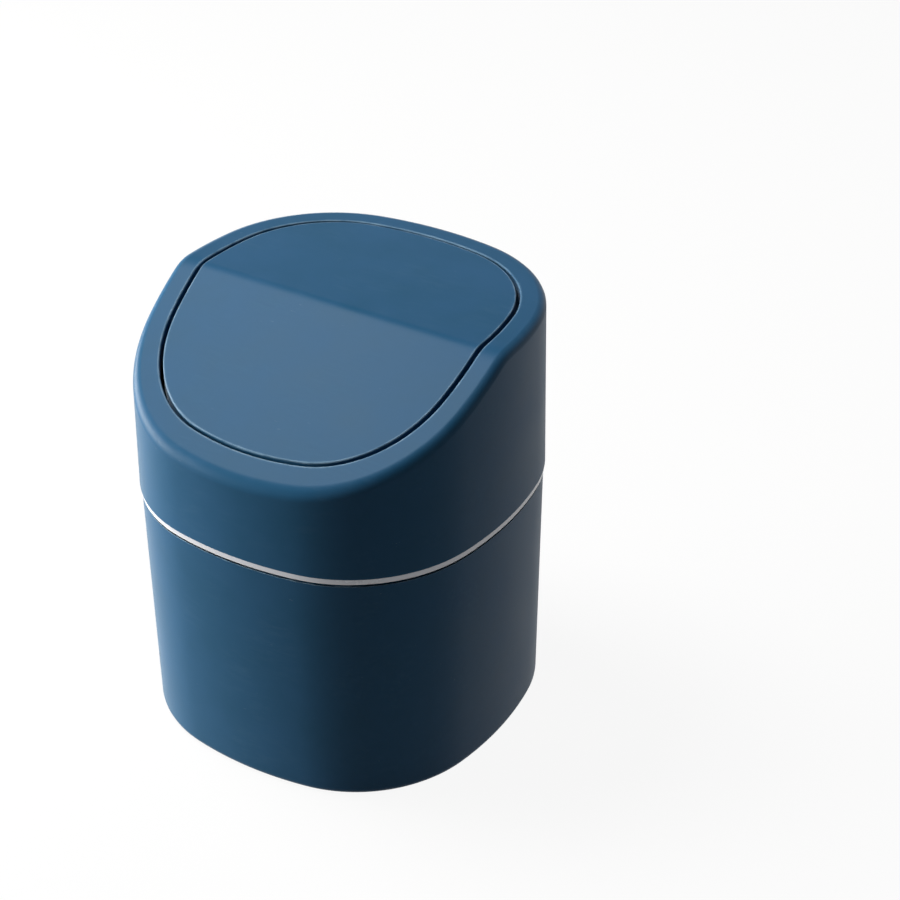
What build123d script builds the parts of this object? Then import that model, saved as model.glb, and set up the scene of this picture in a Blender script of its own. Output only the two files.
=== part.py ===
from build123d import *
import os
from math import asin, atan, cos, degrees, radians, sin, sqrt, tan

# Countertop bin with a weighted swing flap. Millimetres, +Z up, front towards -Y.
# Origin: the middle of the footprint, on the surface that the bin stands on.

# ---- overall form -------------------------------------------------------------
overall_height = 158.0
cover_width = 134.6
cover_corner_radius = 52.0
cover_side_radius = 128.0

# ---- bent top -----------------------------------------------------------------
crease_y = -2.0
slope_angle = 27.8
crease_radius = 16.0

# ---- tub ----------------------------------------------------------------------
body_height = 91.3
body_setback = 0.6
body_draft = 1.5
body_wall = 2.0
body_floor = 2.2
body_foot_bevel = 1.8
body_floor_bevel = 2.5
body_rim_bevel = 0.6
foot_recess_depth = 1.2
foot_rail_width = 6.0

# ---- bag ring -----------------------------------------------------------------
ring_flange = 2.1
ring_setback = 0.2
ring_lead_bevel = 0.7
ring_wall = 1.5
ring_skirt_depth = 14.0
ring_collar_height = 8.0
ring_body_gap = 0.3
ring_cover_gap = 0.3

# ---- cover --------------------------------------------------------------------
cover_draft = 1.1
cover_wall = 2.0
cover_roof = 2.4
cover_edge_bevel = 1.4
cover_foot_bevel = 0.5
rim_width = 8.9
hem_wall = 1.8
ledge_reach = 2.6
ledge_thickness = 1.5
ledge_start_y = 26.0

# ---- flap ---------------------------------------------------------------------
flap_gap = 1.3
flap_panel = 2.0
flap_skirt_depth = 4.6
flap_skirt_wall = 1.6
flap_edge_bevel = 0.5
flap_seat_gap = 0.2
rib_wall = 1.4
rib_depth = 6.0
rib_spacing = 56.0
rib_start_y = -46.0
rib_end_gap = 0.6

# ---- hinge --------------------------------------------------------------------
hinge_depth = 6.0
pin_diameter = 3.0
pin_press_gap = 0.02
pin_running_gap = 0.08
pin_head_diameter = 5.0
pin_head_thickness = 1.2
pin_tip_chamfer = 0.3
pin_end_clearance = 0.4
pin_room = 1.0
boss_diameter = 8.0
boss_length = 9.0
ear_width = 12.0
ear_thickness = 2.6
ear_depth = 12.0
gusset_wall = 1.4
stop_reach = 3.4
stop_depth = 3.2
stop_width = 4.0
swing_limit = 75.0
swing_stop_margin = 1.5

# ---- counterweight ------------------------------------------------------------
weight_length = 50.0
weight_width = 8.0
weight_thickness = 4.0
weight_ledge_gap = 2.1
weight_chamfer = 0.6
pocket_gap = 0.2
pocket_wall = 1.4
weight_cover_thickness = 1.6
weight_cover_margin = 0.4
screw_spacing = 60.0
screw_diameter = 2.4
screw_length = 5.0
screw_head_diameter = 4.8
screw_head_height = 1.5
screw_head_bevel = 0.5
screw_hole_gap = 0.3
screw_bite_gap = 0.02
screw_boss_diameter = 6.4
screw_slot_width = 0.8
screw_slot_depth = 0.7
screw_tip_room = 0.4

cut_margin = 1.0
level_tolerance = 0.001

# ---- worked out from the sizes above ------------------------------------------
cover_half = cover_width / 2
arc_offset = cover_side_radius - cover_half
arc_reach = cover_side_radius - cover_corner_radius
corner_centre = (sqrt(2 * arc_reach**2 - arc_offset**2) - arc_offset) / 2
side_angle = degrees(asin(corner_centre / arc_reach))

bend_y = crease_y + crease_radius * tan(radians(slope_angle / 2))

body_half = cover_half - body_setback
body_taper = degrees(atan(body_draft / body_height))
floor_top = foot_recess_depth + body_floor
floor_inner_half = body_half - body_draft * (1 - floor_top / body_height) - body_wall

cover_foot = body_height + ring_flange
cover_slant = cover_draft / (overall_height - cover_foot)
cover_taper = degrees(atan(cover_slant))
cover_inner_half = cover_half - cover_wall
opening_half = cover_half - cover_draft - rim_width
hem_half = opening_half + hem_wall
ledge_drop = flap_skirt_depth + flap_seat_gap
hem_drop = ledge_drop + ledge_thickness

ring_skirt_half = body_half - body_wall - ring_body_gap
ring_mouth_half = ring_skirt_half - ring_wall
ring_collar_half = cover_inner_half - cover_slant * ring_collar_height - ring_cover_gap

flap_half = opening_half - flap_gap
flap_inner_half = flap_half - flap_skirt_wall
hinge_z = overall_height - hinge_depth
pin_end_x = opening_half + ear_thickness - pin_end_clearance
pin_head_x = flap_inner_half - boss_length
pocket_top = overall_height - flap_panel
weight_bottom = pocket_top - weight_thickness
weight_cover_bottom = weight_bottom - weight_cover_thickness
weight_cover_width = weight_width + 2 * (pocket_gap + pocket_wall + weight_cover_margin)
pocket_edge = pocket_gap + pocket_wall

# The weight sits as far back as its cover's round ends stay clear of the ledge's inner corner arcs.
ledge_corner_radius = cover_corner_radius - cover_draft - rim_width - ledge_reach
weight_arc_reach = ledge_corner_radius - weight_cover_width / 2 - weight_ledge_gap
weight_y = corner_centre + sqrt(weight_arc_reach**2 - (screw_spacing / 2 - corner_centre) ** 2)

rib_end_y = weight_y - weight_cover_width / 2 - rib_end_gap
rib_length = rib_end_y - rib_start_y
cross_rib_half = pin_head_x - pin_head_thickness - pin_room
ring_flange_half = cover_half - ring_setback
foot_recess_half = body_half - body_draft - body_foot_bevel - foot_rail_width
gusset_offset = (ear_width - gusset_wall) / 2

# The stop foot stands where the front skirt's lower edge arrives just past the swing's limit.
stop_angle = radians(90 + slope_angle + swing_limit + swing_stop_margin)
skirt_above_axis = hinge_depth * cos(radians(slope_angle)) - flap_skirt_depth
stop_y = crease_y + (skirt_above_axis + ear_depth * sin(stop_angle)) / cos(stop_angle)


def outline(half_width):
    """Bulged square made of four side arcs and four tangent corner arcs."""
    inset = cover_half - half_width
    side_radius = cover_side_radius - inset
    corner_radius = cover_corner_radius - inset
    with BuildSketch() as sketch:
        with BuildLine():
            for quarter in range(4):
                turn = 90 * quarter
                side = Vector(-arc_offset, 0).rotate(Axis.Z, turn)
                corner = Vector(corner_centre, corner_centre).rotate(Axis.Z, turn)
                CenterArc(side, side_radius, turn - side_angle, 2 * side_angle)
                CenterArc(corner, corner_radius, turn + side_angle, 90 - 2 * side_angle)
        make_face()
    return sketch.sketch


def prism(half_width, bottom, top, taper=0):
    """A block of the bin's outline, half_width at its foot; a taper narrows it upwards."""
    with BuildPart() as block:
        with BuildSketch(Plane.XY.offset(bottom)):
            add(outline(half_width))
        extrude(amount=top - bottom, taper=taper)
    return block.part


def bent_block(half_width, drop, bottom, taper=0):
    """A prism of the bin's outline under the bent top, which is sunk by drop."""
    level = overall_height - drop
    slope_length = cover_half / cos(radians(slope_angle))
    with BuildPart() as block:
        add(prism(half_width, bottom, overall_height, taper))
        with BuildSketch(Plane.YZ):
            with BuildLine():
                back = Line((cover_width, bottom), (cover_width, level))
                flat = Line(back @ 1, (bend_y, level))
                bend = JernArc(flat @ 1, (-1, 0), crease_radius - drop, slope_angle)
                slope = PolarLine(bend @ 1, 1.1 * slope_length, 180 + slope_angle)
                Polyline(slope @ 1, ((slope @ 1).X, bottom), back @ 0)
            make_face()
        extrude(amount=cover_width, both=True, mode=Mode.INTERSECT)
    return block.part


def bent_plate(half_width, top_drop, bottom_drop):
    """What lies between two surfaces that follow the bent top."""
    with BuildPart() as plate:
        add(bent_block(half_width, top_drop, cover_foot))
        add(bent_block(cover_half + cut_margin, bottom_drop, cover_foot - cut_margin), mode=Mode.SUBTRACT)
    return plate.part


def roof_edges(part):
    """The closed chain of edges round the bent top, without the two lines of the crease."""
    roof = part.faces().filter_by(lambda face: face.normal_at().Z > 0.5)
    return roof.edges().filter_by(Axis.X, reverse=True)


def edges_at(part, height):
    """The edges that lie in the horizontal plane at this height."""
    return part.edges().filter_by_position(Axis.Z, height - level_tolerance, height + level_tolerance)


# ---- tub ----------------------------------------------------------------------
with BuildPart() as bin_body:
    with BuildSketch(Plane.XY):
        add(outline(body_half - body_draft))
    extrude(amount=body_height, taper=-body_taper)
    chamfer(edges_at(bin_body.part, 0), body_foot_bevel)
    with BuildSketch(Plane.XY.offset(floor_top)):
        add(outline(floor_inner_half))
    extrude(amount=body_height - floor_top, taper=-body_taper, mode=Mode.SUBTRACT)
    chamfer(edges_at(bin_body.part, floor_top), body_floor_bevel)
    add(prism(foot_recess_half, 0, foot_recess_depth), mode=Mode.SUBTRACT)
    chamfer(edges_at(bin_body.part, body_height), body_rim_bevel)
bin_body.part.label = "bin_body"

# ---- bag ring -----------------------------------------------------------------
with BuildPart() as bag_ring:
    with BuildSketch(Plane.XY.offset(body_height)):
        add(outline(ring_flange_half))
    extrude(amount=ring_flange)
    with BuildSketch(Plane.XY.offset(body_height - ring_skirt_depth)):
        add(outline(ring_skirt_half))
    extrude(amount=ring_skirt_depth + ring_flange)
    chamfer(edges_at(bag_ring.part, body_height - ring_skirt_depth), ring_lead_bevel)
    with BuildSketch(Plane.XY.offset(body_height)):
        add(outline(ring_collar_half))
    extrude(amount=ring_flange + ring_collar_height)
    chamfer(edges_at(bag_ring.part, cover_foot + ring_collar_height), ring_lead_bevel)
    add(prism(ring_mouth_half, body_height - ring_skirt_depth, cover_foot), mode=Mode.SUBTRACT)
    add(prism(ring_collar_half - ring_wall, cover_foot, cover_foot + ring_collar_height), mode=Mode.SUBTRACT)
bag_ring.part.label = "bag_ring"


# ---- cover --------------------------------------------------------------------
def hinge_ear(side):
    """One ear with its two gussets to the wall and its stop foot; side is -1 or 1."""
    ear_bottom = hinge_z - ear_depth
    with BuildPart() as ear:
        with BuildSketch(Plane.YZ.offset(side * opening_half)):
            with Locations((crease_y, (ear_bottom + overall_height) / 2)):
                Rectangle(ear_width, overall_height - ear_bottom)
        extrude(amount=side * ear_thickness)
        with BuildSketch(Plane.YZ.offset(side * opening_half)):
            for edge_y in (crease_y - gusset_offset, crease_y + gusset_offset):
                with Locations((edge_y, (ear_bottom + overall_height) / 2)):
                    Rectangle(gusset_wall, overall_height - ear_bottom)
        extrude(amount=side * rim_width)
        with BuildSketch(Plane.YZ.offset(side * (opening_half - stop_reach))):
            with Locations((stop_y + stop_width / 2, ear_bottom + stop_depth / 2)):
                Rectangle(stop_width, stop_depth)
        extrude(amount=side * (stop_reach + ear_thickness))
        middle_half = cover_inner_half + cover_wall / 2
        add(bent_block(middle_half, cover_roof / 2, cover_foot, cover_taper), mode=Mode.INTERSECT)
    return ear.part


with BuildPart() as back_ledge:
    add(bent_plate(hem_half, ledge_drop, hem_drop))
    add(prism(opening_half - ledge_reach, cover_foot, overall_height), mode=Mode.SUBTRACT)
    split(bisect_by=Plane.XZ.offset(-ledge_start_y), keep=Keep.BOTTOM)

with BuildPart() as lid_cover:
    # The bevel is cut on an upright block a margin larger, which the drafted prism then trims.
    add(bent_block(cover_half + cut_margin, 0, cover_foot))
    chamfer(roof_edges(lid_cover.part), cut_margin + cover_draft + cover_edge_bevel)
    add(prism(cover_half, cover_foot, overall_height, cover_taper), mode=Mode.INTERSECT)
    chamfer(edges_at(lid_cover.part, cover_foot), cover_foot_bevel)
    add(bent_block(cover_inner_half, cover_roof, cover_foot, cover_taper), mode=Mode.SUBTRACT)
    add(bent_plate(hem_half, cover_roof / 2, hem_drop))
    add(prism(opening_half, cover_foot, overall_height), mode=Mode.SUBTRACT)
    add(back_ledge.part)
    for side in (-1, 1):
        add(hinge_ear(side))
    with BuildSketch(Plane.YZ):
        with Locations((crease_y, hinge_z)):
            Circle(pin_diameter / 2 + pin_running_gap)
    extrude(amount=opening_half + ear_thickness, both=True, mode=Mode.SUBTRACT)
lid_cover.part.label = "lid_cover"


# ---- flap ---------------------------------------------------------------------
def hinge_boss(side):
    """The saddle that holds one hinge pin under the flap; side is -1 or 1."""
    with BuildPart() as boss:
        with BuildSketch(Plane.YZ.offset(side * pin_head_x)):
            with Locations((crease_y, hinge_z)):
                Circle(boss_diameter / 2)
            with Locations((crease_y, (hinge_z + overall_height) / 2)):
                Rectangle(boss_diameter, overall_height - hinge_z)
        extrude(amount=side * (flap_half - pin_head_x))
        add(bent_block(flap_half - flap_skirt_wall / 2, flap_panel / 2, cover_foot), mode=Mode.INTERSECT)
    return boss.part


with BuildPart() as flap_ribs:
    with BuildSketch(Plane.XY.offset(cover_foot)):
        with Locations((0, crease_y)):
            Rectangle(2 * cross_rib_half, rib_wall)
        with Locations((0, (rib_start_y + rib_end_y) / 2)):
            with GridLocations(rib_spacing, 0, 2, 1):
                Rectangle(rib_wall, rib_length)
    extrude(amount=overall_height - cover_foot)
    add(bent_plate(flap_inner_half, flap_panel / 2, flap_panel + rib_depth), mode=Mode.INTERSECT)

with BuildPart() as swing_flap:
    add(bent_plate(flap_half, 0, flap_skirt_depth))
    chamfer(roof_edges(swing_flap.part), flap_edge_bevel)
    add(bent_block(flap_inner_half, flap_panel, cover_foot), mode=Mode.SUBTRACT)
    add(flap_ribs.part)
    for side in (-1, 1):
        add(hinge_boss(side))
    with BuildSketch(Plane.XY.offset(weight_bottom)):
        with Locations((0, weight_y)):
            Rectangle(weight_length + 2 * pocket_edge, weight_width + 2 * pocket_edge)
            with GridLocations(screw_spacing, 0, 2, 1):
                Circle(screw_boss_diameter / 2)
    extrude(amount=weight_thickness + flap_panel / 2)
    with BuildSketch(Plane.XY.offset(weight_bottom)):
        with Locations((0, weight_y)):
            Rectangle(weight_length + 2 * pocket_gap, weight_width + 2 * pocket_gap)
    extrude(amount=weight_thickness, mode=Mode.SUBTRACT)
    with BuildSketch(Plane.XY.offset(weight_bottom)):
        with Locations((0, weight_y)):
            with GridLocations(screw_spacing, 0, 2, 1):
                Circle(screw_diameter / 2 + screw_bite_gap)
    extrude(amount=screw_length - weight_cover_thickness + screw_tip_room, mode=Mode.SUBTRACT)
    for side in (-1, 1):
        with BuildSketch(Plane.YZ.offset(side * pin_head_x)):
            with Locations((crease_y, hinge_z)):
                Circle(pin_diameter / 2 + pin_press_gap)
        extrude(amount=side * cover_half, mode=Mode.SUBTRACT)
swing_flap.part.label = "swing_flap"


# ---- hinge pins ---------------------------------------------------------------
def hinge_pin(side, label):
    """A headed pin pushed out through the flap's boss into the cover's ear."""
    with BuildPart() as pin:
        with BuildSketch(Plane.YZ.offset(side * pin_head_x)):
            with Locations((crease_y, hinge_z)):
                Circle(pin_diameter / 2)
        extrude(amount=side * (pin_end_x - pin_head_x))
        chamfer(pin.edges().sort_by(Axis.X)[-1 if side > 0 else 0], pin_tip_chamfer)
        with BuildSketch(Plane.YZ.offset(side * pin_head_x)):
            with Locations((crease_y, hinge_z)):
                Circle(pin_head_diameter / 2)
        extrude(amount=-side * pin_head_thickness)
    pin.part.label = label
    return pin.part


# ---- counterweight ------------------------------------------------------------
with BuildPart() as counterweight:
    with BuildSketch(Plane.XY.offset(weight_bottom)):
        with Locations((0, weight_y)):
            Rectangle(weight_length, weight_width)
    extrude(amount=weight_thickness)
    chamfer(counterweight.edges().filter_by(Axis.Z), weight_chamfer)
counterweight.part.label = "counterweight"

with BuildPart() as weight_cover:
    with BuildSketch(Plane.XY.offset(weight_cover_bottom)):
        with Locations((0, weight_y)):
            SlotOverall(screw_spacing + weight_cover_width, weight_cover_width)
            with GridLocations(screw_spacing, 0, 2, 1):
                Circle(screw_diameter / 2 + screw_hole_gap, mode=Mode.SUBTRACT)
    extrude(amount=weight_cover_thickness)
weight_cover.part.label = "weight_cover"


def weight_screw(side, label):
    """A pan-head screw with a cross slot, pointing up into the flap's boss."""
    with BuildPart() as screw:
        with BuildSketch(Plane.XY.offset(weight_cover_bottom)):
            with Locations((side * screw_spacing / 2, weight_y)):
                Circle(screw_head_diameter / 2)
        extrude(amount=-screw_head_height)
        chamfer(edges_at(screw.part, weight_cover_bottom - screw_head_height), screw_head_bevel)
        with BuildSketch(Plane.XY.offset(weight_cover_bottom - screw_head_height)):
            with Locations((side * screw_spacing / 2, weight_y)):
                Rectangle(screw_head_diameter / 2, screw_slot_width)
                Rectangle(screw_slot_width, screw_head_diameter / 2)
        extrude(amount=screw_slot_depth, mode=Mode.SUBTRACT)
        with BuildSketch(Plane.XY.offset(weight_cover_bottom)):
            with Locations((side * screw_spacing / 2, weight_y)):
                Circle(screw_diameter / 2)
        extrude(amount=screw_length)
    screw.part.label = label
    return screw.part


pieces = [bin_body.part, bag_ring.part, lid_cover.part, swing_flap.part]
pieces += [counterweight.part, weight_cover.part]
for side, hand in ((-1, "left"), (1, "right")):
    pieces.append(hinge_pin(side, "hinge_pin_" + hand))
    pieces.append(weight_screw(side, "weight_screw_" + hand))

os.makedirs("parts", exist_ok=True)
for piece in pieces:
    export_step(piece, "parts/" + piece.label + ".step")
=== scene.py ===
from math import cos, pi, radians, sin, tan

import bmesh
import bpy
from mathutils import Matrix, Vector


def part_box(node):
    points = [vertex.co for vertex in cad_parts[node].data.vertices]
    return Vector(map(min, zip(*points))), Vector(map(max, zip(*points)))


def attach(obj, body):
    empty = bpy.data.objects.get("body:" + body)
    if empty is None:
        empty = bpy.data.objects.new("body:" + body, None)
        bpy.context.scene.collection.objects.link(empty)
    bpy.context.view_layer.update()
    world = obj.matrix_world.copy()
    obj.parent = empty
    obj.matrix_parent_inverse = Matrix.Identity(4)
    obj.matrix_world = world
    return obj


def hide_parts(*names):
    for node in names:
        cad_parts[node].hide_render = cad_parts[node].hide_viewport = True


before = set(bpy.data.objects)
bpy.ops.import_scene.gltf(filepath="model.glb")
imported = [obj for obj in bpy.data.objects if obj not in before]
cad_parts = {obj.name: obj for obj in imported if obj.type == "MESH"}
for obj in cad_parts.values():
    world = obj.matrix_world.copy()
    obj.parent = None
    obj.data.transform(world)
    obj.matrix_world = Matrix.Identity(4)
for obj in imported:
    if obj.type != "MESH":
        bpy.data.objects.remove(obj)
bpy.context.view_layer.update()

MM = 0.001

# ---- the bulged square outline and the bent top, in metres and radians ------------------
COVER_HALF = 67.3 * MM
COVER_INNER_HALF = 65.3 * MM
CORNER_RADIUS = 52.0 * MM
SIDE_RADIUS = 128.0 * MM
SIDE_OFFSET = SIDE_RADIUS - COVER_HALF      # from the middle back to a side arc's centre
CENTRE_REACH = SIDE_RADIUS - CORNER_RADIUS  # from there to a corner arc's centre
# A corner arc's centre lies this far from the middle along X and along Y.
CORNER_CENTRE = ((2 * CENTRE_REACH ** 2 - SIDE_OFFSET ** 2) ** 0.5 - SIDE_OFFSET) / 2
CORNER_STEPS, SIDE_STEPS = 28, 24
CREASE_Y = -2.0 * MM         # the middle of the bend, and the hinge's line
SLOPE = radians(27.8)
BEND_RADIUS = 16.0 * MM
COVER_DRAFT = 1.1 * MM       # how far each wall leans in over the cover's height
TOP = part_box("lid_cover")[1][2]
COVER_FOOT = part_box("lid_cover")[0][2]
BEND_START = CREASE_Y + BEND_RADIUS * tan(SLOPE / 2)
LEAN = COVER_DRAFT / (TOP - COVER_FOOT)

# ---- profiles: corners as (half width, height, edge radius), in millimetres --------------
TUB_PROFILE = [
    (0, 1.2, 0), (56.9, 1.2, 0.3),                              # under the floor
    (57.4, 0.0, 0.4), (65.8, 0.0, 2.6),                         # foot rail
    (66.7, 90.45, 0.15), (66.25, 90.45, 0.15),                  # outer wall and its lip
    (66.25, 89.6, 0.1), (65.5, 89.6, 0.1),                      # groove behind the lip
    (65.5, 91.3, 0.15), (64.7, 91.3, 0.3),                      # rim, which carries the ring
    (63.86, 3.4, 3.0), (0, 3.4, 0)]                             # inner wall and floor
RING_PROFILE = [
    (62.9, 82.0, 0), (62.9, 77.3, 0.3), (64.4, 77.3, 0.6),      # skirt into the tub
    (64.4, 91.3, 0.1), (65.2, 91.3, 0.1), (65.2, 91.38, 0.05),  # flange on the tub's rim
    (67.05, 91.38, 0.2), (66.7, 93.4, 0.25),                    # leaning lip
    (64.86, 93.4, 0.15), (64.86, 101.4, 0.5),                   # collar into the cover
    (63.36, 101.4, 0.4), (63.36, 93.4, 0.3),                    # back of the collar
    (62.9, 93.4, 0.3), (62.9, 82.0, 0)]
COVER_PROFILE = [
    (65.3, 100.0, 0), (65.3, 93.4, 0.3), (67.3, 93.4, 0.35),    # foot
    (67.3, 158.0, 2.9), (57.3, 158.0, 0.5),                     # outer wall and roof
    (57.3, 151.7, 0.4), (59.1, 151.7, 0.4),                     # hem of the opening
    (59.1, 155.6, 0.4), (65.3, 155.6, 0.8), (65.3, 100.0, 0)]   # under the roof
COVER_ROOF_ABOVE = 140 * MM  # rows above this height follow the bent top
COVER_LEAN_BEYOND = 62 * MM  # rows beyond this half width lean inwards
BEYOND_THE_BIN = 1.0         # more than any row's height or half width

# ---- flap -------------------------------------------------------------------------------
FLAP_HALF = 56.0 * MM
FLAP_BEVEL = 0.5 * MM
FINE_BEVEL = 0.2 * MM
FLAP_END_REACH = 0.35 * MM
FLAP_SIDE_DRAW = 0.25 * MM
FLAP_BEND_RADIUS = 8.0 * MM
FLAP_EDGE = 0.15 * MM
SKIRT_DEPTH = 4.6 * MM
SAME_PLACE = 0.02 * MM
BEVEL_MARGIN = 0.05 * MM
BEVEL_FOOT_BAND = (0.1 * MM, 0.9 * MM)
FLAT_ANGLE, HARD_ANGLE = radians(0.5), radians(24)

# ---- hinge ears, gussets, stop feet and ledge ----------------------------------------------
OPENING_HALF = 57.3 * MM
PIN_UNDER_TOP = 6.0 * MM
PIN_HOLE_RADIUS = 1.58 * MM
PIN_HOLE_POINTS = 32
HINGE_Z = TOP - PIN_UNDER_TOP
EAR_WIDTH, EAR_THICKNESS, EAR_DEPTH = 12.0 * MM, 2.6 * MM, 12.0 * MM
EAR_UNDER_TOP, EAR_EDGE, EAR_ROOF_STEPS = 1.2 * MM, 0.15 * MM, 8
GUSSET_WALL, GUSSET_UNDER_TOP, GUSSET_SET_IN = 1.4 * MM, 1.4 * MM, 0.6 * MM
STOP_REACH, STOP_DEPTH, STOP_WIDTH, STOP_EDGE = 3.4 * MM, 3.2 * MM, 4.0 * MM, 0.3 * MM
SWING_DEGREES, STOP_SLACK_DEGREES = 75, 1.5
LEDGE_OUTER_HALF, LEDGE_INNER_HALF = 57.7 * MM, 54.7 * MM
LEDGE_THICKNESS, LEDGE_EDGE = 1.5 * MM, 0.2 * MM
LEDGE_UNDER_TOP = 5.55 * MM
LEDGE_FROM_DEGREES, LEDGE_SPAN_DEGREES, LEDGE_STEPS = 28, 124, 60
# A plate is drawn flat and stood up, with its thickness along X or along Y.
UPRIGHT = Matrix(((0, 0, 1, 0), (1, 0, 0, 0), (0, 1, 0, 0), (0, 0, 0, 1)))
ACROSS = Matrix(((1, 0, 0, 0), (0, 0, -1, 0), (0, 1, 0, 0), (0, 0, 0, 1)))

# ---- lamps and camera ------------------------------------------------------------------------
BIN_MIDDLE = (0, 0, 80 * MM)
WHITE, WARM_WHITE = (1, 1, 1), (1.0, 0.98, 0.93)
LAMPS = [  # name, place, width, height, watts, colour
    ("overhead_left", (-0.54, -0.045, 1.15), 0.5, 0.5, 11.5, WHITE),
    ("left_wall", (-0.90, -0.29, 0.21), 0.8, 0.36, 18.2, WARM_WHITE),
    ("right_fill", (1.3, 0.5, 0.4), 0.6, 0.7, 0.6, WHITE)]
WORLD_STRENGTH = 0.04
SWEEP_FROM, SWEEP_TO = 0.25, 0.50
FLOOR_WIDTH, FLOOR_GLOW = 8, 0.92
CAMERA_AZIMUTH, CAMERA_ELEVATION = radians(31.55), radians(32.41)
CAMERA_RIGHT, CAMERA_UP, CAMERA_BACK = 37.46, 15.72, 767.86  # from the middle, in millimetres
CAMERA_SENSOR, CAMERA_LENS = 36.0, 86.09
CAMERA_NEAR, CAMERA_FAR = 0.01, 50.0


# ---- small helpers -----------------------------------------------------------------------
def socket_in(tree, name, kind, value=None):
    """Adds a named input to a node group."""
    item = tree.interface.new_socket(name=name, in_out="INPUT", socket_type=kind)
    if value is not None:
        item.default_value = value


def socket_out(tree, name, kind):
    """Adds a named output to a node group."""
    tree.interface.new_socket(name=name, in_out="OUTPUT", socket_type=kind)


def add_node(tree, kind, inputs=None, **settings):
    """Adds a node, sets its properties, then fills its inputs with links or values."""
    node = tree.nodes.new(kind)
    for key, value in settings.items():
        setattr(node, key, value)
    for key, value in (inputs or {}).items():
        if isinstance(value, bpy.types.NodeSocket):
            tree.links.new(value, node.inputs[key])
        else:
            node.inputs[key].default_value = value
    return node


def calc(tree, operation, *values):
    """One math node; returns its output."""
    node = add_node(tree, "ShaderNodeMath", dict(enumerate(values)), operation=operation)
    return node.outputs[0]


def scaled(tree, value, factor, base=0.0):
    """The value times a factor, on top of a base."""
    product = calc(tree, "MULTIPLY", value, factor)
    return calc(tree, "ADD", product, base) if base else product


def set_modifier_input(modifier, name, value):
    """Sets one named input of a Geometry Nodes modifier through its identifier."""
    for item in modifier.node_group.interface.items_tree:
        if item.item_type == "SOCKET" and item.in_out == "INPUT" and item.name == name:
            modifier[item.identifier] = value
            return
    raise KeyError(name)


def add_piece(name, mesh):
    """Puts a finished mesh in the scene, in its own place."""
    piece = bpy.data.objects.new(name, mesh)
    bpy.context.scene.collection.objects.link(piece)
    return piece


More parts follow.
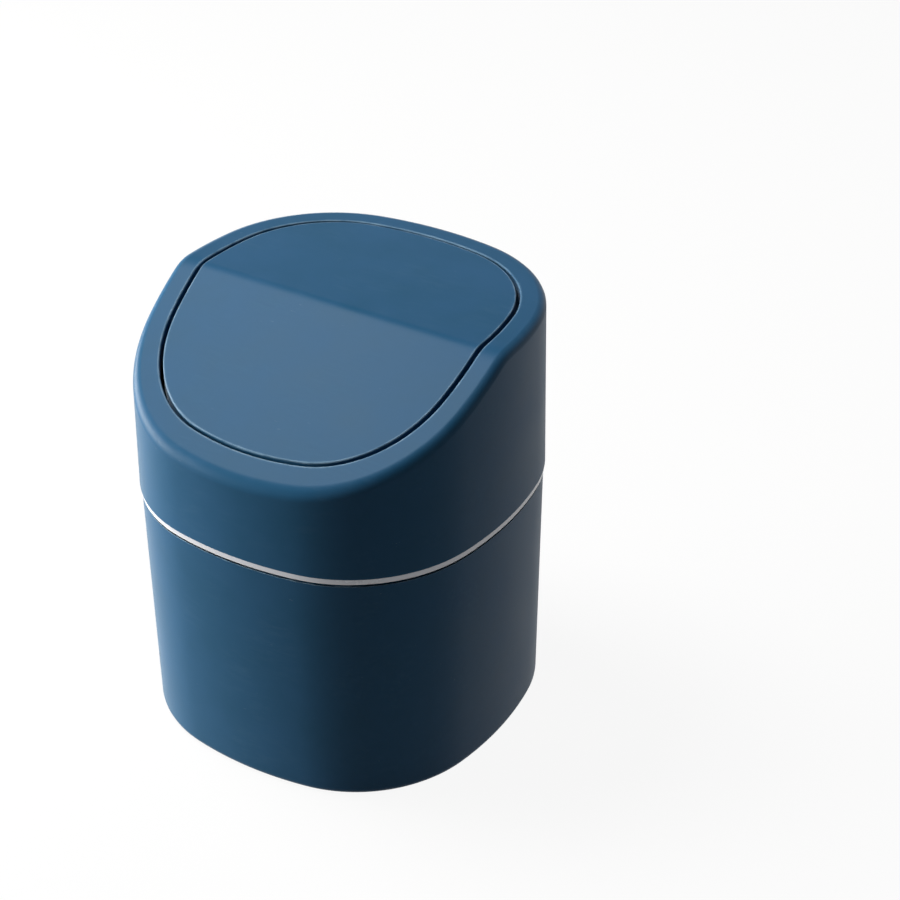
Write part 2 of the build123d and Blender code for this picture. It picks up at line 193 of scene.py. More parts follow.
# ---- the outline sweep: tub, ring and cover ------------------------------------------------
def outline_sweep_tree():
    """Carries a profile of (half width, height) points round the bulged square outline."""
    tree = bpy.data.node_groups.new("Outline Sweep", "GeometryNodeTree")
    socket_in(tree, "Profile", "NodeSocketGeometry")
    socket_in(tree, "Cover Half Width", "NodeSocketFloat", COVER_HALF)
    socket_in(tree, "Corner Radius", "NodeSocketFloat", CORNER_RADIUS)
    socket_in(tree, "Side Radius", "NodeSocketFloat", SIDE_RADIUS)
    socket_in(tree, "Corner Steps", "NodeSocketInt", CORNER_STEPS)
    socket_in(tree, "Side Steps", "NodeSocketInt", SIDE_STEPS)
    socket_in(tree, "Top Height", "NodeSocketFloat", TOP)
    socket_in(tree, "Foot Height", "NodeSocketFloat", COVER_FOOT)
    socket_in(tree, "Bend Start", "NodeSocketFloat", BEND_START)
    socket_in(tree, "Bend Radius", "NodeSocketFloat", BEND_RADIUS)
    socket_in(tree, "Slope Angle", "NodeSocketFloat", SLOPE)
    socket_in(tree, "Lean", "NodeSocketFloat", 0.0)
    socket_in(tree, "Roof Rows Above", "NodeSocketFloat", BEYOND_THE_BIN)
    socket_in(tree, "Leaning Rows Beyond", "NodeSocketFloat", BEYOND_THE_BIN)
    socket_in(tree, "Material", "NodeSocketMaterial")
    socket_out(tree, "Shell", "NodeSocketGeometry")
    given = tree.nodes.new("NodeGroupInput").outputs

    half, corner_radius, side_radius = (
        given["Cover Half Width"], given["Corner Radius"], given["Side Radius"])
    offset = calc(tree, "SUBTRACT", side_radius, half)
    reach = calc(tree, "SUBTRACT", side_radius, corner_radius)
    doubled = calc(tree, "MULTIPLY", calc(tree, "MULTIPLY", reach, reach), 2.0)
    inside = calc(tree, "SUBTRACT", doubled, calc(tree, "MULTIPLY", offset, offset))
    centre_span = calc(tree, "SUBTRACT", calc(tree, "SQRT", inside), offset)
    centre = calc(tree, "MULTIPLY", centre_span, 0.5)
    side_angle = calc(tree, "ARCSINE", calc(tree, "DIVIDE", centre, reach))

    size = add_node(tree, "GeometryNodeAttributeDomainSize", {"Geometry": given["Profile"]})
    rows = size.outputs["Point Count"]
    per_quarter = calc(tree, "ADD", given["Corner Steps"], given["Side Steps"])
    around = calc(tree, "MULTIPLY", per_quarter, 4.0)
    grid = add_node(tree, "GeometryNodeMeshGrid", {
        "Vertices X": calc(tree, "ADD", around, 1.0), "Vertices Y": rows})

    def whole_times(number, divisor):
        """How often the divisor goes into a whole number."""
        return calc(tree, "FLOOR", calc(tree, "DIVIDE", calc(tree, "ADD", number, 0.5), divisor))

    index = tree.nodes.new("GeometryNodeInputIndex").outputs[0]
    step = whole_times(index, rows)
    row = calc(tree, "SUBTRACT", index, calc(tree, "MULTIPLY", step, rows))
    quarter = whole_times(step, per_quarter)
    along = calc(tree, "SUBTRACT", step, calc(tree, "MULTIPLY", quarter, per_quarter))
    on_side = calc(tree, "LESS_THAN", along, given["Side Steps"])

    place = tree.nodes.new("GeometryNodeInputPosition").outputs[0]
    sample = add_node(tree, "GeometryNodeSampleIndex", data_type="FLOAT_VECTOR")
    tree.links.new(given["Profile"], sample.inputs["Geometry"])
    tree.links.new(place, sample.inputs["Value"])
    tree.links.new(row, sample.inputs["Index"])
    point = add_node(tree, "ShaderNodeSeparateXYZ", {0: sample.outputs["Value"]}).outputs

    def pick(side, corner):
        """The side arc's value on a side, the corner arc's value on a corner."""
        gap = calc(tree, "SUBTRACT", side, corner)
        return calc(tree, "ADD", corner, calc(tree, "MULTIPLY", gap, on_side))

    doubled_along = calc(tree, "MULTIPLY", along, 2.0)
    side_share = calc(tree, "SUBTRACT", calc(
        tree, "DIVIDE", doubled_along, given["Side Steps"]), 1.0)
    side_turn = calc(tree, "MULTIPLY", side_angle, side_share)
    corner_share = calc(tree, "DIVIDE", calc(
        tree, "SUBTRACT", along, given["Side Steps"]), given["Corner Steps"])
    corner_span = calc(tree, "SUBTRACT", pi / 2, calc(tree, "MULTIPLY", side_angle, 2.0))
    corner_turn = calc(tree, "ADD", side_angle, calc(tree, "MULTIPLY", corner_share, corner_span))
    turn = pick(side_turn, corner_turn)
    full_radius = pick(side_radius, corner_radius)
    centre_x = pick(calc(tree, "MULTIPLY", offset, -1.0), centre)
    centre_y = pick(0.0, centre)
    off_axis = calc(tree, "GREATER_THAN", point["X"], 0.001 * MM)

    def outline_point(width):
        """Where the outline of this half width passes, as the outputs X and Y."""
        radius = calc(tree, "SUBTRACT", full_radius, calc(tree, "SUBTRACT", half, width))
        run = calc(tree, "MULTIPLY", radius, calc(tree, "COSINE", turn))
        rise = calc(tree, "MULTIPLY", radius, calc(tree, "SINE", turn))
        x, y = calc(tree, "ADD", centre_x, run), calc(tree, "ADD", centre_y, rise)
        flat = add_node(tree, "ShaderNodeCombineXYZ", {
            "X": calc(tree, "MULTIPLY", x, off_axis), "Y": calc(tree, "MULTIPLY", y, off_axis)})
        turned = add_node(tree, "ShaderNodeVectorRotate", {
            "Vector": flat.outputs[0], "Angle": calc(tree, "MULTIPLY", quarter, pi / 2)},
            rotation_type="Z_AXIS")
        return add_node(tree, "ShaderNodeSeparateXYZ", {0: turned.outputs[0]}).outputs

    def row_height(y):
        """A row's own height, or its drop below the bent top at this place."""
        drop = calc(tree, "SUBTRACT", given["Top Height"], point["Z"])
        bend = calc(tree, "SUBTRACT", given["Bend Radius"], drop)
        run = calc(tree, "SUBTRACT", given["Bend Start"], y)
        bend_run = calc(tree, "MULTIPLY", bend, calc(tree, "SINE", given["Slope Angle"]))
        in_bend = calc(tree, "MINIMUM", calc(tree, "MAXIMUM", run, 0.0), bend_run)
        bend_fall = calc(tree, "SUBTRACT", bend, calc(tree, "SQRT", calc(
            tree, "SUBTRACT", calc(tree, "MULTIPLY", bend, bend),
            calc(tree, "MULTIPLY", in_bend, in_bend))))
        past_bend = calc(tree, "MAXIMUM", calc(tree, "SUBTRACT", run, bend_run), 0.0)
        slope_fall = calc(tree, "MULTIPLY", past_bend, calc(tree, "TANGENT", given["Slope Angle"]))
        fall = calc(tree, "ADD", bend_fall, slope_fall)
        on_roof = calc(tree, "GREATER_THAN", point["Z"], given["Roof Rows Above"])
        return calc(tree, "SUBTRACT", point["Z"], calc(tree, "MULTIPLY", fall, on_roof))

    leaning = calc(tree, "MULTIPLY", given["Lean"], calc(
        tree, "GREATER_THAN", point["X"], given["Leaning Rows Beyond"]))
    spot = outline_point(point["X"])
    for _ in range(2):
        rise = calc(tree, "SUBTRACT", row_height(spot["Y"]), given["Foot Height"])
        spot = outline_point(calc(
            tree, "SUBTRACT", point["X"], calc(tree, "MULTIPLY", leaning, rise)))
    carried = add_node(tree, "ShaderNodeCombineXYZ", {
        "X": spot["X"], "Y": spot["Y"], "Z": row_height(spot["Y"])}).outputs[0]

    moved = add_node(tree, "GeometryNodeSetPosition", {
        "Geometry": grid.outputs["Mesh"], "Position": carried}).outputs[0]
    closed = add_node(tree, "GeometryNodeMergeByDistance", {
        "Geometry": moved, "Distance": 0.002 * MM}).outputs[0]
    smooth = add_node(tree, "GeometryNodeSetShadeSmooth", {"Geometry": closed}).outputs[0]
    real = add_node(tree, "GeometryNodeRealizeInstances", {"Geometry": smooth}).outputs[0]
    dressed = add_node(tree, "GeometryNodeSetMaterial", {
        "Geometry": real, "Material": given["Material"]}).outputs[0]
    tree.links.new(dressed, tree.nodes.new("NodeGroupOutput").inputs["Shell"])
    return tree


def rounded_path(corners, arc_steps=5, support=0.25 * MM):
    """Turns (half width, height, edge radius) corners into a path with arcs and support points."""
    path = []
    for number, (x, z, radius) in enumerate(corners):
        here = Vector((x, z))
        if radius <= 0 or number in (0, len(corners) - 1):
            path.append(here)
            continue
        before = (Vector(corners[number - 1][:2]) - here).normalized()
        after = (Vector(corners[number + 1][:2]) - here).normalized()
        opening = before.angle(after)
        cut = radius / tan(opening / 2)
        centre = here + (before + after).normalized() * (radius / sin(opening / 2))
        path.append(here + before * (cut + support))
        start = here + before * cut - centre
        for step in range(arc_steps + 1):
            share = step / arc_steps
            turned = start.lerp(here + after * cut - centre, share)
            path.append(centre + turned.normalized() * radius)
        path.append(here + after * (cut + support))
    return [(p.x, p.y) for p in path]


def swept_shell(name, profile, tree, material,
                lean=0.0, roof_above=BEYOND_THE_BIN, lean_beyond=BEYOND_THE_BIN):
    """A closed shell made by carrying the profile round the outline."""
    path = rounded_path([(x * MM, z * MM, radius * MM) for x, z, radius in profile])
    mesh = bpy.data.meshes.new(name + "_profile")
    mesh.from_pydata([(x, 0, z) for x, z in path], [(i, i + 1) for i in range(len(path) - 1)], [])
    carrier = add_piece(name + "_profile", mesh)
    modifier = carrier.modifiers.new("Outline Sweep", "NODES")
    modifier.node_group = tree
    inputs = {
        "Cover Half Width": COVER_HALF, "Corner Radius": CORNER_RADIUS, "Side Radius": SIDE_RADIUS,
        "Corner Steps": CORNER_STEPS, "Side Steps": SIDE_STEPS, "Top Height": TOP,
        "Foot Height": COVER_FOOT, "Bend Start": BEND_START, "Bend Radius": BEND_RADIUS,
        "Slope Angle": SLOPE, "Lean": lean, "Roof Rows Above": roof_above,
        "Leaning Rows Beyond": lean_beyond, "Material": material}
    for input_name, value in inputs.items():
        set_modifier_input(modifier, input_name, value)
    graph = bpy.context.evaluated_depsgraph_get()
    shell = bpy.data.meshes.new_from_object(carrier.evaluated_get(graph), depsgraph=graph)
    shell.name = name
    bpy.data.objects.remove(carrier)
    bpy.data.meshes.remove(mesh)
    face_outwards(shell)
    return add_piece(name, shell)


def face_outwards(mesh):
    """Turns a closed mesh the right way out."""
    work = bmesh.new()
    work.from_mesh(mesh)
    bmesh.ops.recalc_face_normals(work, faces=work.faces)
    if work.calc_volume(signed=True) < 0:
        bmesh.ops.reverse_faces(work, faces=work.faces)
    work.to_mesh(mesh)
    work.free()


# ---- the outline and the bent top at one place ----------------------------------------------
def outward(x, y):
    """The way out of the bulged square outline at this place, and the half width there."""
    quarter = round(Vector((x, y)).angle_signed(Vector((1, 0)), 0) / (pi / 2))
    turn = Matrix.Rotation(quarter * pi / 2, 2)
    local = turn.transposed() @ Vector((x, y))
    from_side = local - Vector((-SIDE_OFFSET, 0))
    side_run = (CENTRE_REACH ** 2 - CORNER_CENTRE ** 2) ** 0.5
    if abs(from_side.y) * side_run < CORNER_CENTRE * from_side.x:
        return turn @ from_side.normalized(), COVER_HALF - SIDE_RADIUS + from_side.length
    from_corner = local - Vector((CORNER_CENTRE, CORNER_CENTRE if local.y > 0 else -CORNER_CENTRE))
    return turn @ from_corner.normalized(), COVER_HALF - CORNER_RADIUS + from_corner.length


def outline_spot(half_width, turn):
    """A point of the bulged square outline whose normal points at this angle."""
    inset = COVER_HALF - half_width
    quarter = round(turn / (pi / 2))
    local = turn - quarter * pi / 2
    away = Vector((cos(local), sin(local)))
    if abs(sin(local)) * CENTRE_REACH < CORNER_CENTRE:
        spot = Vector((-SIDE_OFFSET, 0)) + away * (SIDE_RADIUS - inset)
    else:
        side = 1 if local > 0 else -1
        spot = Vector((CORNER_CENTRE, side * CORNER_CENTRE)) + away * (CORNER_RADIUS - inset)
    return Matrix.Rotation(quarter * pi / 2, 2) @ spot


def top_height(y, drop=0.0, radius=BEND_RADIUS):
    """Height of the bent top at this depth, sunk by drop, for this radius of the bend."""
    bend = radius - drop
    run = CREASE_Y + radius * tan(SLOPE / 2) - y
    in_bend = min(max(run, 0), bend * sin(SLOPE))
    past_bend = max(run - bend * sin(SLOPE), 0)
    return TOP - drop - (bend - (bend ** 2 - in_bend ** 2) ** 0.5) - past_bend * tan(SLOPE)


# ---- flap: a moulded shell with softened edges ----------------------------------------------
def finer_edge(work):
    """Makes the flap's top bevel finer, its front and back gaps narrower and its side gaps wider."""
    for vertex in work.verts:
        away, half = outward(vertex.co.x, vertex.co.y)
        inset = FLAP_HALF - half
        if inset > FLAP_BEVEL + BEVEL_MARGIN:
            continue
        below = top_height(vertex.co.y) - vertex.co.z
        extra = FLAP_END_REACH * away.y ** 2 - FLAP_SIDE_DRAW * away.x ** 2
        if abs(below) < SAME_PLACE:
            extra += FLAP_BEVEL - FINE_BEVEL
        at_bevel_foot = inset < SAME_PLACE and BEVEL_FOOT_BAND[0] < below < BEVEL_FOOT_BAND[1]
        rise = FLAP_BEVEL - FINE_BEVEL if at_bevel_foot else 0
        at = vertex.co.y
        vertex.co.x += away.x * extra
        vertex.co.y += away.y * extra
        vertex.co.z += rise + top_height(vertex.co.y) - top_height(at)


def crisper_bend(work):
    """Lifts the flap's bend to a smaller radius."""
    for vertex in work.verts:
        at = vertex.co.y
        vertex.co.z += top_height(at, radius=FLAP_BEND_RADIUS) - top_height(at)


def softened_flap(node, name, material):
    """The flap's shape with a finer bevel and bend, and every hard edge rounded."""
    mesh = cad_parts[node].data.copy()
    mesh.name = name
    work = bmesh.new()
    work.from_mesh(mesh)
    bmesh.ops.remove_doubles(work, verts=work.verts, dist=0.004 * MM)
    finer_edge(work)
    crisper_bend(work)
    bmesh.ops.dissolve_limit(work, angle_limit=FLAT_ANGLE, verts=work.verts, edges=work.edges,
                             use_dissolve_boundaries=False)
    hard = [e for e in work.edges if e.is_manifold and e.calc_face_angle(0) > HARD_ANGLE]
    bmesh.ops.bevel(work, geom=hard, offset=FLAP_EDGE, offset_type="OFFSET", segments=3,
                    profile=0.5, affect="EDGES", clamp_overlap=True)
    for face in work.faces:
        face.smooth = True
    work.to_mesh(mesh)
    work.free()
    mesh.materials.clear()
    mesh.materials.append(material)
    piece = add_piece(name, mesh)
    modifier = piece.modifiers.new("Weighted Normal", "WEIGHTED_NORMAL")
    modifier.keep_sharp = True
    modifier.weight = 80
    return piece


# ---- plates with rounded edges: hinge ears, gussets, stop feet and ledge ---------------------
def moulded_plate(name, outlines, thickness, place, edge, material):
    """A flat plate of closed outlines, the later ones holes, with its edges rounded."""
    curve = bpy.data.curves.new(name + "_curve", "CURVE")
    curve.dimensions, curve.fill_mode = "2D", "BOTH"
    curve.extrude, curve.bevel_depth, curve.bevel_resolution = thickness / 2 - edge, edge, 2
    curve.offset = -edge
    for outline in outlines:
        spline = curve.splines.new("POLY")
        spline.points.add(len(outline) - 1)
        for point, (x, y) in zip(spline.points, outline):
            point.co = (x, y, 0, 1)
        spline.use_cyclic_u = True
    carrier = add_piece(name + "_curve", curve)
    mesh = bpy.data.meshes.new_from_object(carrier)
    bpy.data.objects.remove(carrier)
    mesh.name = name
    mesh.transform(place)
    work = bmesh.new()
    work.from_mesh(mesh)
    bmesh.ops.remove_doubles(work, verts=work.verts, dist=0.001 * MM)
    work.to_mesh(mesh)
    work.free()
    face_outwards(mesh)
    mesh.materials.clear()
    mesh.materials.append(material)
    return add_piece(name, mesh)


def hinge_plates(material):
    """On each side an ear with its stop foot and two gussets."""
    ear_bottom = HINGE_Z - EAR_DEPTH
    ear_front, ear_back = CREASE_Y - EAR_WIDTH / 2, CREASE_Y + EAR_WIDTH / 2
    roof_line = [ear_back + (ear_front - ear_back) * step / EAR_ROOF_STEPS
                 for step in range(EAR_ROOF_STEPS + 1)]
    ear_outline = [(ear_front, ear_bottom), (ear_back, ear_bottom)]
    ear_outline += [(y, top_height(y, EAR_UNDER_TOP)) for y in roof_line]
    hole_turns = [pi * step / (PIN_HOLE_POINTS / 2) for step in range(PIN_HOLE_POINTS)]
    pin_hole = [(CREASE_Y + PIN_HOLE_RADIUS * cos(turn), HINGE_Z + PIN_HOLE_RADIUS * sin(turn))
                for turn in hole_turns]
    stop_angle = pi / 2 + SLOPE + radians(SWING_DEGREES + STOP_SLACK_DEGREES)
    skirt_above_axis = PIN_UNDER_TOP * cos(SLOPE) - SKIRT_DEPTH
    stop_y = CREASE_Y + (skirt_above_axis + EAR_DEPTH * sin(stop_angle)) / cos(stop_angle)
    stop_outline = [(stop_y, ear_bottom), (stop_y + STOP_WIDTH, ear_bottom),
                    (stop_y + STOP_WIDTH, ear_bottom + STOP_DEPTH), (stop_y, ear_bottom + STOP_DEPTH)]
    gusset_inner = OPENING_HALF + GUSSET_SET_IN
    plates = []
    for side, hand in ((-1, "left"), (1, "right")):
        ear_x = side * (OPENING_HALF + EAR_THICKNESS / 2)
        plates.append(moulded_plate(
            "hinge_ear_" + hand, [ear_outline, pin_hole], EAR_THICKNESS,
            Matrix.Translation((ear_x, 0, 0)) @ UPRIGHT, EAR_EDGE, material))
        stop_x = side * (OPENING_HALF + (EAR_THICKNESS - STOP_REACH) / 2)
        plates.append(moulded_plate(
            "swing_stop_" + hand, [stop_outline], STOP_REACH + EAR_THICKNESS,
            Matrix.Translation((stop_x, 0, 0)) @ UPRIGHT, STOP_EDGE, material))
        for offset, end in ((-1, "front"), (1, "back")):
            gusset_y = CREASE_Y + offset * (EAR_WIDTH - GUSSET_WALL) / 2
            gusset_top = top_height(gusset_y, GUSSET_UNDER_TOP)
            gusset_outline = [(side * x, z) for x, z in (
                (gusset_inner, ear_bottom), (COVER_INNER_HALF, ear_bottom),
                (COVER_INNER_HALF, gusset_top), (gusset_inner, gusset_top))]
            plates.append(moulded_plate(
                "ear_gusset_" + end + "_" + hand, [gusset_outline], GUSSET_WALL,
                Matrix.Translation((0, gusset_y, 0)) @ ACROSS, EAR_EDGE, material))
    return plates


def rest_ledge(material):
    """The curved ledge on which the flap's back rests."""
    turns = [radians(LEDGE_FROM_DEGREES + LEDGE_SPAN_DEGREES * step / LEDGE_STEPS)
             for step in range(LEDGE_STEPS + 1)]
    outline = [outline_spot(LEDGE_OUTER_HALF, turn) for turn in turns]
    outline += [outline_spot(LEDGE_INNER_HALF, turn) for turn in reversed(turns)]
    return moulded_plate(
        "flap_rest_ledge", [[(p.x, p.y) for p in outline]], LEDGE_THICKNESS,
        Matrix.Translation((0, 0, TOP - LEDGE_UNDER_TOP)), LEDGE_EDGE, material)


# ---- finishes ---------------------------------------------------------------------------------
# The Mix node's sockets go by number, because its kinds of value share their names.
MIX_SHARE, MIX_VALUE_A, MIX_VALUE_B, MIX_COLOUR_A, MIX_COLOUR_B, MIX_COLOUR_OUT = 0, 2, 3, 6, 7, 2


def linear(red, green, blue):
    """A screen colour of 0 to 255 as the linear values that Blender uses."""
    def one(value):
        value /= 255
        return value / 12.92 if value <= 0.04045 else ((value + 0.055) / 1.055) ** 2.4
    return one(red), one(green), one(blue)


def spread(tree, value, low, high):
    """Stretches a range of values to 0 to 1 and clips what lies outside."""
    node = add_node(tree, "ShaderNodeMapRange", {
        "Value": value, "From Min": low, "From Max": high}, clamp=True)
    return node.outputs["Result"]


def noise(tree, vector, size, detail=2.0, roughness=0.5):
    """Smooth noise whose blotches are about this size, in metres."""
    node = add_node(tree, "ShaderNodeTexNoise", {
        "Vector": vector, "Scale": 1 / size, "Detail": detail, "Roughness": roughness})
    return node.outputs["Fac"]


def tinted(tree, colour, other, share):
    """Blends one colour towards another."""
    def opaque(value):
        return value if isinstance(value, bpy.types.NodeSocket) else (*value, 1)
    node = add_node(tree, "ShaderNodeMix", data_type="RGBA", inputs={
        MIX_SHARE: share, MIX_COLOUR_A: opaque(colour), MIX_COLOUR_B: opaque(other)})
    return node.outputs[MIX_COLOUR_OUT]


def mould_grain_group():
    """The fine spark-eroded grain that a steel mould leaves on plastic."""
    tree = bpy.data.node_groups.new("Mould Grain", "ShaderNodeTree")
    socket_in(tree, "Place", "NodeSocketVector")
    socket_in(tree, "Fine Share", "NodeSocketFloat", 0.6)
    socket_out(tree, "Height", "NodeSocketFloat")
    socket_out(tree, "Patches", "NodeSocketFloat")
    given = tree.nodes.new("NodeGroupInput").outputs
    fine = noise(tree, given["Place"], size=0.22 * MM, detail=3.0, roughness=0.6)
    coarse = noise(tree, given["Place"], size=0.9 * MM)
    height = add_node(tree, "ShaderNodeMix", {
        MIX_SHARE: given["Fine Share"], MIX_VALUE_A: coarse, MIX_VALUE_B: fine})
    blotches = noise(tree, given["Place"], size=24 * MM, detail=3.0, roughness=0.55)
    out = tree.nodes.new("NodeGroupOutput")
    tree.links.new(height.outputs[0], out.inputs["Height"])
    tree.links.new(spread(tree, blotches, low=0.3, high=0.7), out.inputs["Patches"])
    return tree


def handling_marks_group():
    """Faint rubbed streaks and a few fine scuffs, as hands and shelves leave them."""
    tree = bpy.data.node_groups.new("Handling Marks", "ShaderNodeTree")
    socket_in(tree, "Place", "NodeSocketVector")
    socket_out(tree, "Rubbed", "NodeSocketFloat")
    socket_out(tree, "Scuffs", "NodeSocketFloat")
    place = tree.nodes.new("NodeGroupInput").outputs["Place"]
    wander, sway = 30 * MM, 5 * MM
    bent = add_node(tree, "ShaderNodeTexNoise", {"Vector": place, "Scale": 1 / wander})
    turned = add_node(tree, "ShaderNodeVectorMath", {
        0: bent.outputs["Color"], 1: (sway, sway, sway)}, operation="MULTIPLY")
    swayed = add_node(tree, "ShaderNodeVectorMath", {
        0: place, 1: turned.outputs[0]}, operation="ADD")
    along = add_node(tree, "ShaderNodeMapping", {
        "Vector": swayed.outputs[0], "Rotation": (0.3, 0.2, 0.6), "Scale": (0.16, 1, 1)}).outputs[0]
    where = spread(tree, noise(tree, place, size=20 * MM), low=0.48, high=0.68)
    streaks = noise(tree, along, size=2.2 * MM, detail=4.0, roughness=0.65)
    rubbed = calc(tree, "MULTIPLY", where, spread(tree, streaks, low=0.45, high=0.75))
    thin = spread(tree, noise(tree, along, size=0.7 * MM, detail=1.0), low=0.73, high=0.78)
    rare = spread(tree, noise(tree, place, size=9 * MM, detail=1.0), low=0.62, high=0.70)
    out = tree.nodes.new("NodeGroupOutput")
    tree.links.new(rubbed, out.inputs["Rubbed"])
    tree.links.new(calc(tree, "MULTIPLY", thin, rare), out.inputs["Scuffs"])
    return tree


def edge_polish_and_highlight_group():
    """Where a sharp edge is rubbed smoother and paler than the faces beside it; the paler line is
    partly a painted highlight.
    """
    tree = bpy.data.node_groups.new("Edge Polish And Highlight", "ShaderNodeTree")
    socket_in(tree, "Place", "NodeSocketVector")
    socket_in(tree, "Reach", "NodeSocketFloat", 0.5 * MM)
    socket_out(tree, "Polish And Highlight", "NodeSocketFloat")
    given = tree.nodes.new("NodeGroupInput").outputs
    rounded = add_node(tree, "ShaderNodeBevel", {"Radius": given["Reach"]}, samples=4)
    flat = tree.nodes.new("ShaderNodeNewGeometry").outputs["Normal"]
    likeness = add_node(tree, "ShaderNodeVectorMath", {
        0: rounded.outputs["Normal"], 1: flat}, operation="DOT_PRODUCT").outputs["Value"]
    edge = spread(tree, likeness, low=0.9995, high=0.97)
    uneven = spread(tree, noise(tree, given["Place"], size=6 * MM, detail=3.0), low=0.2, high=0.6)
    out = tree.nodes.new("NodeGroupOutput")
    tree.links.new(calc(tree, "MULTIPLY", edge, uneven), out.inputs["Polish And Highlight"])
    return tree


def use_group(tree, group, **inputs):
    """Places a shared node group in a material; returns its outputs."""
    named = {name.replace("_", " "): value for name, value in inputs.items()}
    return add_node(tree, "ShaderNodeGroup", named, node_tree=group).outputs


def start_material(name, constants):
    """A new material, with constants on its shader; returns it, its tree, shader and place."""
    material = bpy.data.materials.new(name)
    material.use_nodes = True
    shader = material.node_tree.nodes["Principled BSDF"]
    for socket, value in constants.items():
        shader.inputs[socket].default_value = value
    place = material.node_tree.nodes.new("ShaderNodeTexCoord").outputs["Object"]
    return material, material.node_tree, shader, place


def add_bump(tree, shader, height, depth, strength):
    """Raises the surface by a height value of 0 to 1 times the depth."""
    bump = add_node(tree, "ShaderNodeBump", {
        "Height": height, "Distance": depth, "Strength": strength})
    tree.links.new(bump.outputs["Normal"], shader.inputs["Normal"])


def blue_plastic_material(grain, marks, polish_and_highlight):
    """Matt dark blue moulded plastic with fine grain, faint rub marks, and paler edges that are
    partly rubbed wear and partly a painted highlight.
    """
    material, tree, shader, place = start_material("dark_blue_moulded_plastic", {
        "Specular IOR Level": 0.11, "IOR": 1.49, "Sheen Weight": 0.42, "Sheen Roughness": 0.25,
        "Sheen Tint": (0.86, 0.95, 1.0, 1.0)})
    plain_blue, patch_blue = linear(34, 87, 122), linear(42, 92, 130)
    rub_blue, scuff_blue = linear(82, 118, 146), linear(128, 152, 170)
    edge_highlight_blue = linear(150, 184, 208)
    grained = use_group(tree, grain, Place=place)
    marked = use_group(tree, marks, Place=place)
    height = add_node(tree, "ShaderNodeSeparateXYZ", {0: place}).outputs["Z"]
    # The painted edge highlight reaches further on the lid and flap, from 105 to 125 mm up.
    lid_height_share = spread(tree, height, low=105 * MM, high=125 * MM)
    edges = use_group(tree, polish_and_highlight, Place=place, Reach=scaled(
        tree, lid_height_share, 0.5 * MM, base=0.4 * MM))
    colour = tinted(tree, plain_blue, patch_blue, grained["Patches"])
    colour = tinted(tree, colour, rub_blue, scaled(tree, marked["Rubbed"], 0.20))
    colour = tinted(tree, colour, scuff_blue, scaled(tree, marked["Scuffs"], 0.3))
    # Paler edges: part rubbed wear, part a painted highlight line along them.
    colour = tinted(tree, colour, edge_highlight_blue, scaled(tree, edges["Polish And Highlight"], 0.8))
    tree.links.new(colour, shader.inputs["Base Color"])
    rough = scaled(tree, grained["Patches"], 0.04, base=0.40)
    rough = calc(tree, "ADD", rough, scaled(tree, marked["Rubbed"], 0.06))
    rough = calc(tree, "SUBTRACT", rough, scaled(tree, edges["Polish And Highlight"], 0.10))
    tree.links.new(rough, shader.inputs["Roughness"])
    add_bump(tree, shader, grained["Height"], depth=0.012 * MM, strength=0.5)
    return material


def white_plastic_material(grain, marks, polish_and_highlight):
    """Satin white moulded plastic, a little warmer in patches and greyer where it is handled."""
    material, tree, shader, place = start_material("satin_white_plastic", {
        "Specular IOR Level": 1.0, "IOR": 1.7, "Coat Weight": 0.8, "Coat Roughness": 0.15})
    cool_white, warm_white = linear(221, 226, 239), linear(227, 229, 238)
    rub_grey, edge_white = linear(206, 207, 208), linear(246, 246, 246)
    grained = use_group(tree, grain, Place=place, Fine_Share=0.3)
    marked = use_group(tree, marks, Place=place)
    edges = use_group(tree, polish_and_highlight, Place=place)
    colour = tinted(tree, cool_white, warm_white, grained["Patches"])
    colour = tinted(tree, colour, rub_grey, scaled(tree, marked["Rubbed"], 0.2))
    colour = tinted(tree, colour, edge_white, edges["Polish And Highlight"])
    tree.links.new(colour, shader.inputs["Base Color"])
    rough = scaled(tree, marked["Rubbed"], 0.12, base=0.26)
    tree.links.new(rough, shader.inputs["Roughness"])
    add_bump(tree, shader, grained["Height"], depth=0.006 * MM, strength=0.4)
    return material


def plated_steel_material(polish_and_highlight):
    """Bright zinc plating on pins and screws, with faint blue and straw tints."""
    material, tree, shader, place = start_material("zinc_plated_steel", {"Metallic": 1.0})
    blue_tint, straw_tint = linear(176, 184, 192), linear(196, 192, 180)
    bright = linear(214, 216, 218)
    edges = use_group(tree, polish_and_highlight, Place=place)
    clouds = spread(tree, noise(tree, place, size=1.4 * MM), low=0.35, high=0.65)
    colour = tinted(tree, blue_tint, straw_tint, clouds)
    colour = tinted(tree, colour, bright, scaled(tree, edges["Polish And Highlight"], 0.5))
    tree.links.new(colour, shader.inputs["Base Color"])
    brushed = noise(tree, place, size=0.25 * MM, detail=3.0, roughness=0.6)
    tree.links.new(scaled(tree, brushed, 0.16, base=0.24), shader.inputs["Roughness"])
    add_bump(tree, shader, brushed, depth=0.004 * MM, strength=0.35)
    return material


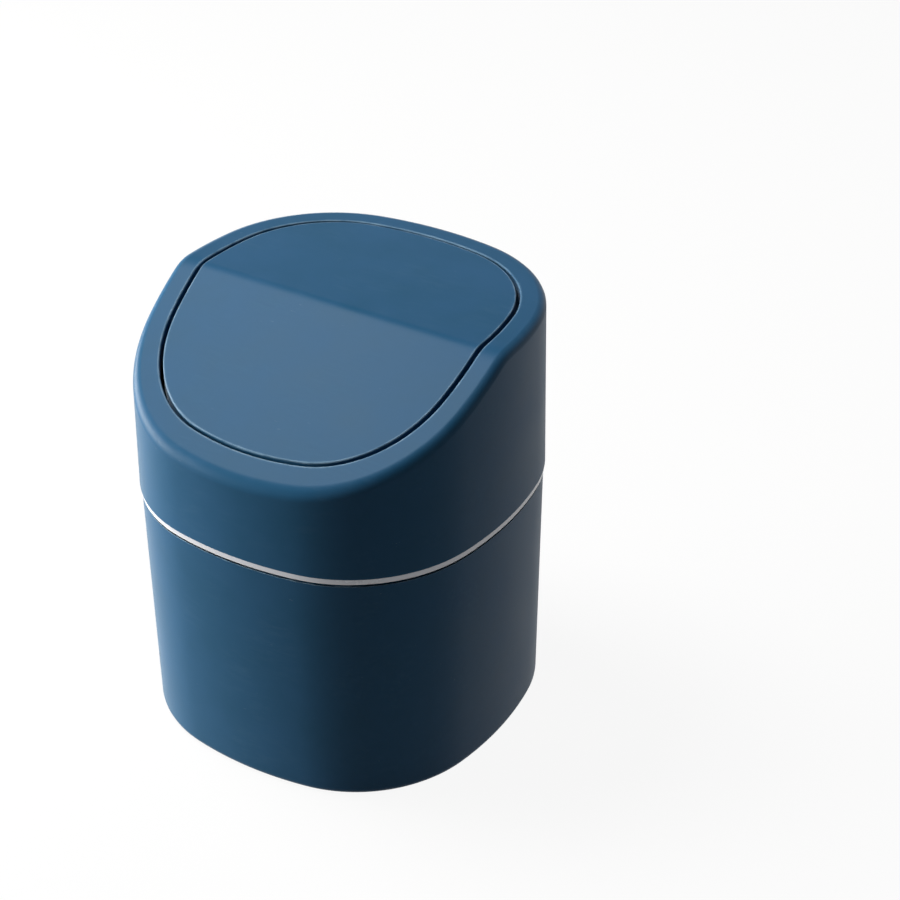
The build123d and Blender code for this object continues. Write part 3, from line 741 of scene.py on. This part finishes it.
def sheared_bar_material(polish_and_highlight):
    """Mill-finished flat bar: dull rolled faces streaked along X, with a few dark spots."""
    material, tree, shader, place = start_material("sheared_steel_bar", {"Metallic": 1.0})
    dull, pale = linear(116, 118, 122), linear(158, 160, 162)
    spot_brown, bright = linear(84, 76, 70), linear(190, 191, 192)
    edges = use_group(tree, polish_and_highlight, Place=place)
    rolled = add_node(tree, "ShaderNodeMapping", {"Vector": place, "Scale": (0.05, 1, 1)})
    streaks = noise(tree, rolled.outputs[0], size=0.5 * MM, detail=4.0, roughness=0.65)
    spots = spread(tree, noise(tree, place, size=2.5 * MM, detail=3.0), low=0.62, high=0.74)
    colour = tinted(tree, dull, pale, spread(tree, streaks, low=0.35, high=0.65))
    colour = tinted(tree, colour, spot_brown, scaled(tree, spots, 0.5))
    colour = tinted(tree, colour, bright, scaled(tree, edges["Polish And Highlight"], 0.6))
    tree.links.new(colour, shader.inputs["Base Color"])
    tree.links.new(scaled(tree, streaks, 0.25, base=0.33), shader.inputs["Roughness"])
    add_bump(tree, shader, streaks, depth=0.01 * MM, strength=0.4)
    return material


mould_grain = mould_grain_group()
handling_marks = handling_marks_group()
edge_polish_and_highlight = edge_polish_and_highlight_group()
blue_plastic = blue_plastic_material(mould_grain, handling_marks, edge_polish_and_highlight)
white_plastic = white_plastic_material(mould_grain, handling_marks, edge_polish_and_highlight)
plated_steel = plated_steel_material(edge_polish_and_highlight)
sheared_bar = sheared_bar_material(edge_polish_and_highlight)

# ---- pieces -----------------------------------------------------------------------------------
sweep = outline_sweep_tree()
tub = swept_shell("tub_shell", TUB_PROFILE, sweep, blue_plastic)
ring = swept_shell("ring_band", RING_PROFILE, sweep, white_plastic)
cover = swept_shell("cover_shell", COVER_PROFILE, sweep, blue_plastic,
                    lean=LEAN, roof_above=COVER_ROOF_ABOVE, lean_beyond=COVER_LEAN_BEYOND)
for piece in hinge_plates(blue_plastic) + [rest_ledge(blue_plastic)]:
    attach(piece, "cover")
flap = softened_flap("swing_flap", "flap_shell", blue_plastic)

for piece, node, body, slot in (
        (tub, "bin_body", "bin", "blue_plastic"), (ring, "bag_ring", "ring", "white_plastic"),
        (cover, "lid_cover", "cover", "blue_plastic"), (flap, "swing_flap", "flap", "blue_plastic")):
    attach(piece, body)
    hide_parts(node)
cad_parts["counterweight"].material_slots[0].material = sheared_bar
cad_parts["weight_cover"].material_slots[0].material = blue_plastic
for node in ("hinge_pin_left", "hinge_pin_right", "weight_screw_left", "weight_screw_right"):
    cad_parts[node].material_slots[0].material = plated_steel


# ---- floor, light and camera --------------------------------------------------------------------
def seen_directly(tree):
    """1 for what the camera sees itself, in gloss or through glass, and 0 for other rays."""
    path = tree.nodes.new("ShaderNodeLightPath").outputs
    plain_or_gloss = calc(tree, "MAXIMUM", path["Is Camera Ray"], path["Is Glossy Ray"])
    return calc(tree, "MAXIMUM", plain_or_gloss, path["Is Transmission Ray"])


def mix_shaders(tree, share, first, second, output, socket):
    """Blends two shaders into the tree's output."""
    mix = add_node(tree, "ShaderNodeMixShader", {
        0: share, 1: first.outputs[0], 2: second.outputs[0]})
    tree.links.new(mix.outputs[0], tree.nodes[output].inputs[socket])


def stage_floor():
    """A white floor that shows the bin's shadow, and throws little light back up."""
    bpy.ops.mesh.primitive_plane_add(size=FLOOR_WIDTH)
    floor = bpy.context.active_object
    floor.name = "floor"
    material = bpy.data.materials.new("white_floor")
    material.use_nodes = True
    tree = material.node_tree
    shader = tree.nodes["Principled BSDF"]
    shader.inputs["Roughness"].default_value = 0.9
    shader.inputs["Specular IOR Level"].default_value = 0.0
    dark_to_the_bin, pale = (0.13, 0.13, 0.13), (0.9, 0.9, 0.9)
    seen = seen_directly(tree)
    tree.links.new(tinted(tree, dark_to_the_bin, pale, seen), shader.inputs["Base Color"])
    glow = add_node(tree, "ShaderNodeEmission", {"Color": (1, 1, 1, 1), "Strength": 1.0})
    mix_shaders(tree, scaled(tree, seen, FLOOR_GLOW), shader, glow, "Material Output", "Surface")
    floor.data.materials.append(material)


def softbox(name, place, width, height, watts, colour):
    """A soft rectangular lamp that points at the bin."""
    light = bpy.data.lights.new(name, "AREA")
    light.shape = "RECTANGLE"
    light.size, light.size_y, light.energy, light.color = width, height, watts, colour
    lamp = add_piece(name, light)
    lamp.location = place
    lamp.rotation_euler = (Vector(BIN_MIDDLE) - Vector(place)).to_track_quat("-Z", "Y").to_euler()


def world_light():
    """A white sweep that ends above eye level, seen by the camera and in reflections."""
    world = bpy.data.worlds.new("studio")
    bpy.context.scene.world = world
    world.use_nodes = True
    tree = world.node_tree
    ambient = tree.nodes["Background"]
    ambient.inputs["Color"].default_value = (1, 1, 1, 1)
    ambient.inputs["Strength"].default_value = WORLD_STRENGTH
    direction = add_node(tree, "ShaderNodeSeparateXYZ", {
        0: tree.nodes.new("ShaderNodeTexCoord").outputs["Generated"]})
    height = spread(tree, direction.outputs["Z"], low=SWEEP_FROM, high=SWEEP_TO)
    dark_above = (0.12, 0.12, 0.12)
    sweep_colour = tinted(tree, WHITE, dark_above, height)
    backdrop = add_node(tree, "ShaderNodeBackground", {"Color": sweep_colour, "Strength": 1.0})
    mix_shaders(tree, seen_directly(tree), ambient, backdrop, "World Output", "Surface")


def place_camera():
    """The camera, in front of the bin, to its right and above it."""
    azimuth, elevation = CAMERA_AZIMUTH, CAMERA_ELEVATION
    right = Vector((cos(azimuth), sin(azimuth), 0))
    back = Vector((sin(azimuth) * cos(elevation), -cos(azimuth) * cos(elevation), sin(elevation)))
    up = back.cross(right)
    place = (Vector(BIN_MIDDLE) + right * CAMERA_RIGHT * MM + up * CAMERA_UP * MM
             + back * CAMERA_BACK * MM)
    lens = bpy.data.cameras.new("camera")
    lens.sensor_width, lens.lens = CAMERA_SENSOR, CAMERA_LENS
    lens.clip_start, lens.clip_end = CAMERA_NEAR, CAMERA_FAR
    camera = add_piece("camera", lens)
    turn = Matrix((right, up, back)).transposed().to_4x4()
    camera.matrix_world = Matrix.Translation(place) @ turn
    bpy.context.scene.camera = camera


stage_floor()
world_light()
for lamp in LAMPS:
    softbox(*lamp)
place_camera()
bpy.context.scene.view_settings.view_transform = "Standard"
